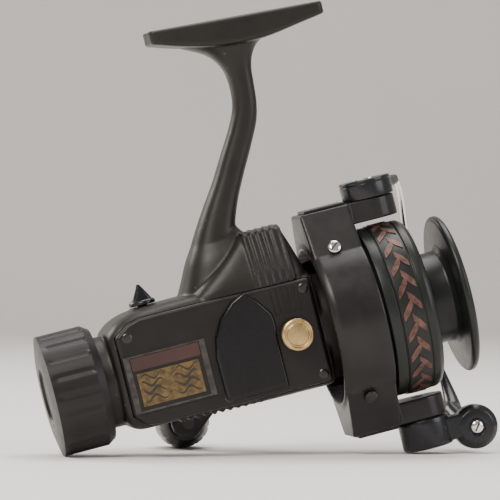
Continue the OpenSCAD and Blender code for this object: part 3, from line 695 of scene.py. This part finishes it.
REPEATS = 24
all_points, all_faces = [], []
for k in range(REPEATS):
    for lean, start, end, shift in ((0.16, 38.8, 42.6, 0.0), (-0.16, 41.6, 45.3, 0.35)):
        points, faces = stroke((k + shift) / REPEATS, lean, start, end, 0.055)
        all_faces += [tuple(i + len(all_points) for i in face) for face in faces]
        all_points += points
strokes = build("band_strokes", all_points, all_faces, copper)
finish(strokes, "spool_shaft", "copper_band")
button = turned("release_button", rounded([(2.2, 60), (3.4, 60), (3.4, 63.6), (5, 63.6), (5, 60),
                                           (6.3, 60), (6.3, 65.2), (5.4, 66), (3, 65.7), (0, 65.6),
                                           (0, 63), (2.2, 63)], 0.3),
                grip_black, sides=72)
finish(button, "button", "grip", "spool_button")

# --- rotor screws, on the cheeks of the arms -----------------------------------------------------------
CHEEK = math.atan2(8.5, 16)
for t in (-1, 1):
    for s in (-1, 1):
        name = f"rotor_screw_{'top' if t > 0 else 'bottom'}_{'far' if s > 0 else 'near'}"
        head, groove = slotted_head(name, "w", (0, 0), 2.2, 0, 1.1, chrome if t > 0 else dark_steel, 0.7)
        y = s * (17 - 3.6 * math.tan(CHEEK))
        out = Vector((0, s * math.cos(CHEEK), t * math.sin(CHEEK)))
        turn = Vector((0, 0, 1)).rotation_difference(out).to_matrix().to_4x4()
        seat = Matrix.Translation(Vector((24.5, y, t * 24.6)) + out * 0.45) @ turn
        for part in (head, groove):
            part.data.transform(REEL @ seat @ REEL.inverted())
        finish(head, "rotor", "chrome", *(["rotor_screws"] if t > 0 and s < 0 else []))
        finish(groove, "rotor", "chrome")

# --- bail -------------------------------------------------------------------------------------------
WIRE_HALF = 42
REACH = 43


def wire_point(a):
    """The wire's middle line; a runs from -90 below to 90 above, in degrees."""
    reach = 19 + (REACH - 19) * math.cos(math.radians(a))
    phi = math.radians(50 + 18 * math.cos(math.radians(a)))
    height = (WIRE_HALF if a < 0 else WIRE_HALF - 1.2) * math.sin(math.radians(a))
    return (BAIL.x + reach * math.cos(phi), reach * math.sin(phi), height)


wire_stops = [(ROLLER.x, 11, ROLLER.z), (ROLLER.x, 14, ROLLER.z + 0.4)]
wire_stops += [wire_point(a) for a in range(-72, 91, 6)]
wire_path = smooth_path(wire_stops, 110)
split = 30
guide_radii = [max(1.25, 3.9 - 0.095 * i) for i in range(split + 1)]
guide = swept("wire_guide", wire_path[:split + 1], guide_radii, bail_black)
finish(guide, "bail", "cover_black")
wire = swept("bail_bow", wire_path[split:], [1.05] * (len(wire_path) - split), chrome)
finish(wire, "bail", "chrome", "bail_wire")

top_profile = rounded([(2.1, 37.2), (8.5, 37.2), (8.5, 41.9), (8.3, 42.0), (8.3, 42.2), (8.5, 42.3),
                       (8.45, 43.15), (8.0, 43.4), (4.2, 43.2), (4.1, 42),
                       (2.1, 42)], 0.2)
top_disc = turned("top_bail_arm", top_profile, bail_black, "w", (BAIL.x, 0), 72)
finish(top_disc, "bail", "cover_black", "upper_bail_arm")
tip = wire_point(90)
top_link_rings = []
for f, half, low, high in smooth_path([(0.25, 6.4, 37.9, 42.8), (0.5, 4.6, 38.0, 42.4),
                                       (0.75, 3.3, 38.2, 42.3), (1.0, 2.1, 38.9, 42.1),
                                       (1.06, 1.3, 39.6, 41.6)], 20):
    centre = Vector((BAIL.x, 0, 0)).lerp(Vector((tip[0], tip[1], 0)), f)
    run = Vector((tip[0] - BAIL.x, tip[1], 0)).normalized()
    cross = Vector((-run.y, run.x, 0))
    top_link_rings.append([centre + cross * a + Vector((0, 0, (low + high) / 2 + b))
                           for a, b in super_ring(half, (high - low) / 2, 3, 32)])
top_link = build("top_bail_link", *skin(top_link_rings), bail_black)
finish(top_link, "bail", "cover_black")

low_profile = rounded([(2.1, -37.3), (8.3, -37.3), (8.5, -38.6), (8.5, -46.2), (7.9, -47), (4.2, -47),
                       (4.1, -44.1), (2.1, -44.1)], 0.35)
low_disc = turned("low_bail_arm", low_profile, bail_black, "w", (BAIL.x, 0), 72)
finish(low_disc, "bail", "rotor_grey", "lower_bail_arm")
LINK = [(BAIL.x + 4.8, -5.6), (ROLLER.x, -5), (ROLLER.x, 1.2), (ROLLER.x - 7, 1.2), (BAIL.x + 4.8, 3.6)]
link = prism("low_bail_link", LINK, -46.3, -38.6, bail_black, "w", bevel=0.9)
finish(link, "bail", "rotor_grey")
cheek = turned("roller_cheek", rounded([(1.55, -5), (2.6, -5), (2.9, -5.6), (5.6, -5.4), (7.3, -3.8),
                                        (7.3, 0.4), (6.6, 1.4), (1.55, 1.4)],
                                       0.4), bail_black, "y", (ROLLER.x, ROLLER.z), 72)
finish(cheek, "bail", "rotor_grey")
roller = turned("roller_wheel", rounded([(1.56, 1.8), (4.8, 1.8), (5.1, 2.4), (4.3, 3.6), (4.05, 4.8),
                                         (4.3, 6), (5.1, 7.2), (4.8, 7.8), (1.56, 7.8)], 0.3),
                                         chrome, "y",
                (ROLLER.x, ROLLER.z), 72)
finish(roller, "roller", "chrome", "line_roller")
end_cap = turned("roller_end_cap", rounded([(0, 8.2), (4.6, 8.2), (4.6, 10.4), (3.9, 12), (0, 12.4)],
                                           0.4), bail_black, "y",
                 (ROLLER.x, ROLLER.z), 60)
finish(end_cap, "bail", "chrome", "roller_screw")
head, groove = slotted_head("roller_screw_head", "y", (ROLLER.x, ROLLER.z), 2.1, -4.8, -6.2, chrome, 0.9)
finish(head, "bail", "chrome")
finish(groove, "bail", "chrome")
pin = turned("roller_pin", [(0, -5), (1.5, -5), (1.5, 8.3), (0, 8.3)], steel, "y", (ROLLER.x, ROLLER.z), 32)
finish(pin, "bail", "chrome")

# --- handle -----------------------------------------------------------------------------------------
run = Vector((GRIP.x - CRANK.x, 0, GRIP.z - CRANK.z))
ARM = run.length
run.normalize()
drop = Vector((-run.z, 0, run.x))
arm_rings = []
for f, half, low, high in smooth_path([(-0.17, 3.0, 30.6, 34.2), (-0.1, 5.8, 30, 34.6),
                                       (0.05, 6.6, 29.8, 34.8), (0.3, 4.6, 30.4, 34.4),
                                       (0.6, 3.7, 30.5, 34.3), (0.85, 4.4, 30.4, 34.4),
                                       (1.0, 5.2, 30.2, 34.6), (1.09, 4.2, 30.4, 34.4),
                                       (1.13, 1.6, 30.8, 34.0)], 60):
    centre = Vector((CRANK.x, 0, CRANK.z)) + run * ARM * f
    ring = super_ring(half, (high - low) / 2, 3.5, 40)
    arm_rings.append([centre + drop * a + Vector((0, (low + high) / 2 + b, 0)) for a, b in ring])
arm = build("crank_arm", *skin(arm_rings), rotor_grey)
finish(arm, "crank", "rotor_grey", "handle_arm")
hub = turned("crank_hub", rounded([(0, 21), (7.2, 21), (7.2, 23), (6.2, 23.4), (6.0, 28.6), (6.6, 29.6),
                                   (0, 29.6)], 0.4), nylon,
             "y", (CRANK.x, CRANK.z), 72)
finish(hub, "crank", "nylon", "handle_hub")
hub_cap = turned("crank_cap", rounded([(0, 34.4), (5.2, 34.4), (5.2, 35.4), (4.0, 36.5), (0, 36.7)], 0.4),
                 chrome, "y",
                 (CRANK.x, CRANK.z), 60)
finish(hub_cap, "crank", "chrome")


def grip_ribs(angle, radius, t):
    """Fine grooves along the grip."""
    if radius < 7.5 or t < 38 or t > 55:
        return 0.0
    return -0.28 * max(0.0, math.cos(14 * angle)) ** 4


grip_profile = [(2.06, 35.8), (6.0, 35.8), (6.6, 36.4), (7.2, 38)]
grip_profile += [(8.4 + 0.6 * math.sin(math.pi * k / 12), 40 + 1.2 * k) for k in range(13)]
grip_profile += [(7.6, 56.4), (6.2, 57.4), (4.6, 57.6), (4.4, 57.2), (4.4, 54.4), (2.06, 54.4)]
grip = turned("crank_grip", grip_profile, grip_black, "y", (GRIP.x, GRIP.z), 168, wave=grip_ribs)
finish(grip, "grip", "grip", "handle_knob")

# --- floor, backdrop and lights ------------------------------------------------------------------------
floor_grey = material("floor", (0.80, 0.78, 0.75), 0.7, vary=0.02, patch=3, grain=0.05, grain_scale=300)
BACK, REACH_BACK, TOP = 1.7, 0.5, 2.6
sweep = [(-2.4, 0.0)] + [(BACK + REACH_BACK * math.sin(a), REACH_BACK * (1 - math.cos(a)))
                         for a in [math.pi / 2 * k / 16 for k in range(17)]] + [(BACK + REACH_BACK, TOP)]
sweep_mesh = bpy.data.meshes.new("backdrop")
sweep_points = [(x, y, z) for x in (-4, 4) for y, z in sweep]
count = len(sweep)
sweep_mesh.from_pydata(sweep_points, [], [(k, k + 1, count + k + 1, count + k) for k in range(count - 1)])
sweep_mesh.shade_smooth()
sweep_mesh.materials.append(floor_grey)
backdrop = bpy.data.objects.new("backdrop", sweep_mesh)
bpy.context.scene.collection.objects.link(backdrop)


def light(name, place, target, size, power, colour):
    """A square soft box that faces its target."""
    data = bpy.data.lights.new(name, "AREA")
    data.size = size
    data.energy = power
    data.color = colour
    lamp = bpy.data.objects.new(name, data)
    lamp.location = place
    lamp.rotation_euler = (Vector(target) - Vector(place)).to_track_quat("-Z", "Y").to_euler()
    bpy.context.scene.collection.objects.link(lamp)


light("key", (-0.7, -0.9, 1.1), (0, 0, 0.07), 0.7, 24, (1.0, 0.95, 0.88))
light("fill", (1.1, -0.8, 0.6), (0, 0, 0.07), 0.8, 9, (0.97, 0.97, 1.0))
light("top", (0.1, 0.3, 1.3), (0, 0, 0.05), 0.9, 16, (1.0, 0.98, 0.95))
light("back", (-0.9, 0.9, 0.7), (0, 0, 0.08), 0.5, 9, (1.0, 0.95, 0.88))
world = bpy.data.worlds.new("studio")
world.use_nodes = True
world.node_tree.nodes["Background"].inputs["Color"].default_value = (0.92, 0.9, 0.87, 1)
world.node_tree.nodes["Background"].inputs["Strength"].default_value = 0.5
bpy.context.scene.world = world
